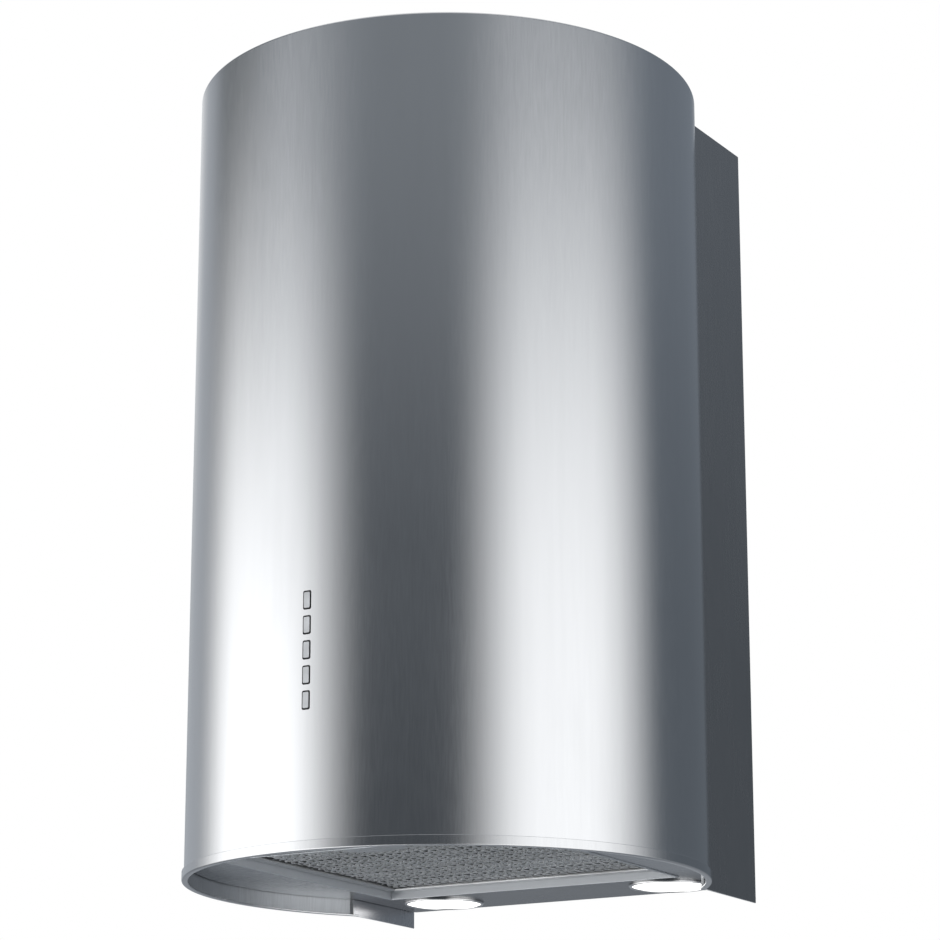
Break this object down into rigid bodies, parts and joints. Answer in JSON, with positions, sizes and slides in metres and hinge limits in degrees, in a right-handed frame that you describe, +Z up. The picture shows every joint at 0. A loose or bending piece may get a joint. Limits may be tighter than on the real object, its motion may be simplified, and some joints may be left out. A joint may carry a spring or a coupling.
{
  "type": "wall range hood",
  "caption": "Wall-hung cylinder range hood in brushed steel, with a drop-down grease filter, push buttons, lamps and a ducted blower.",
  "frame": {"origin": "where the wall bracket's back face meets the wall, on the centre line", "axes": "+Z up, +Y into the wall, +X to the right seen from the front"},
  "size_m": [0.394, 0.405, 0.616],
  "materials": {
    "brushed_stainless": "vertical brushed satin",
    "galvanised_steel": "galvanised sheet",
    "aluminium": "satin",
    "polished_steel": "polished",
    "lamp_glass": "lit, diffusing",
    "button_grey": "satin",
    "dark_plastic": "matt",
    "white_plastic": "matt",
    "circuit_board": "satin"
  },
  "bodies": {
    "casing": {"blower_brace_left": "galvanised_steel", "blower_brace_right": "galvanised_steel", "blower_scroll": "galvanised_steel", "bottom_rim": "brushed_stainless", "button_guide": "dark_plastic", "cable_gland": "dark_plastic", "control_board": "circuit_board", "control_housing": "dark_plastic", "filter_surround": "brushed_stainless", "flap_pin": "polished_steel", "front_shell": "brushed_stainless", "lamp_bezel_left": "polished_steel", "lamp_bezel_right": "polished_steel", "lamp_holder_left": "white_plastic", "lamp_holder_right": "white_plastic", "lamp_lens_left": "lamp_glass", "lamp_lens_right": "lamp_glass", "lamp_transformer": "dark_plastic", "motor_body": "galvanised_steel", "motor_bracket": "galvanised_steel", "motor_capacitor": "white_plastic", "outlet_collar": "galvanised_steel", "rear_plate": "galvanised_steel", "scroll_side_left": "galvanised_steel", "scroll_side_right": "galvanised_steel", "side_panel_left": "brushed_stainless", "side_panel_right": "brushed_stainless", "terminal_box": "dark_plastic", "terminal_lid": "dark_plastic", "top_plate": "galvanised_steel", "underside_panel": "brushed_stainless", "wall_bracket": "galvanised_steel", "wall_screw_left": "polished_steel", "wall_screw_right": "polished_steel"},
    "filter": {"filter_frame": "aluminium", "filter_mesh": "aluminium", "filter_pivot_left": "polished_steel", "filter_pivot_right": "polished_steel"},
    "latch": {"filter_latch": "aluminium"},
    "wheel": {"impeller": "aluminium", "motor_shaft": "polished_steel"},
    "front_flap": {"flap_front": "aluminium"},
    "rear_flap": {"flap_rear": "aluminium"},
    "button_1": {"button_1": "button_grey"},
    "button_2": {"button_2": "button_grey"},
    "button_3": {"button_3": "button_grey"},
    "button_4": {"button_4": "button_grey"},
    "button_5": {"button_5": "button_grey"}
  },
  "joints": [
    {"name": "button_1_press", "type": "slide", "parent": "casing", "child": "button_1", "axis": [0, 1, 0], "range_m": [0, 0.002], "stiffness_N_per_m": 400},
    {"name": "button_2_press", "type": "slide", "parent": "casing", "child": "button_2", "axis": [0, 1, 0], "range_m": [0, 0.002], "stiffness_N_per_m": 400},
    {"name": "button_3_press", "type": "slide", "parent": "casing", "child": "button_3", "axis": [0, 1, 0], "range_m": [0, 0.002], "stiffness_N_per_m": 400},
    {"name": "button_4_press", "type": "slide", "parent": "casing", "child": "button_4", "axis": [0, 1, 0], "range_m": [0, 0.002], "stiffness_N_per_m": 400},
    {"name": "button_5_press", "type": "slide", "parent": "casing", "child": "button_5", "axis": [0, 1, 0], "range_m": [0, 0.002], "stiffness_N_per_m": 400},
    {"name": "filter_drop", "type": "hinge", "parent": "casing", "child": "filter", "pos_m": [0, -0.089, -0.4575], "axis": [1, 0, 0], "range_deg": [0, 90]},
    {"name": "latch_pull", "type": "slide", "parent": "filter", "child": "latch", "axis": [0, 1, 0], "range_m": [0, 0.004], "stiffness_N_per_m": 300},
    {"name": "impeller_spin", "type": "hinge", "parent": "casing", "child": "wheel", "pos_m": [0, -0.243, -0.0543], "axis": [1, 0, 0], "continuous": true},
    {"name": "front_flap_lift", "type": "hinge", "parent": "casing", "child": "front_flap", "pos_m": [0, -0.208, 0.0892], "axis": [-1, 0, 0], "range_deg": [0, 75]},
    {"name": "rear_flap_lift", "type": "hinge", "parent": "casing", "child": "rear_flap", "pos_m": [0, -0.208, 0.0892], "axis": [1, 0, 0], "range_deg": [0, 75]}
  ]
}
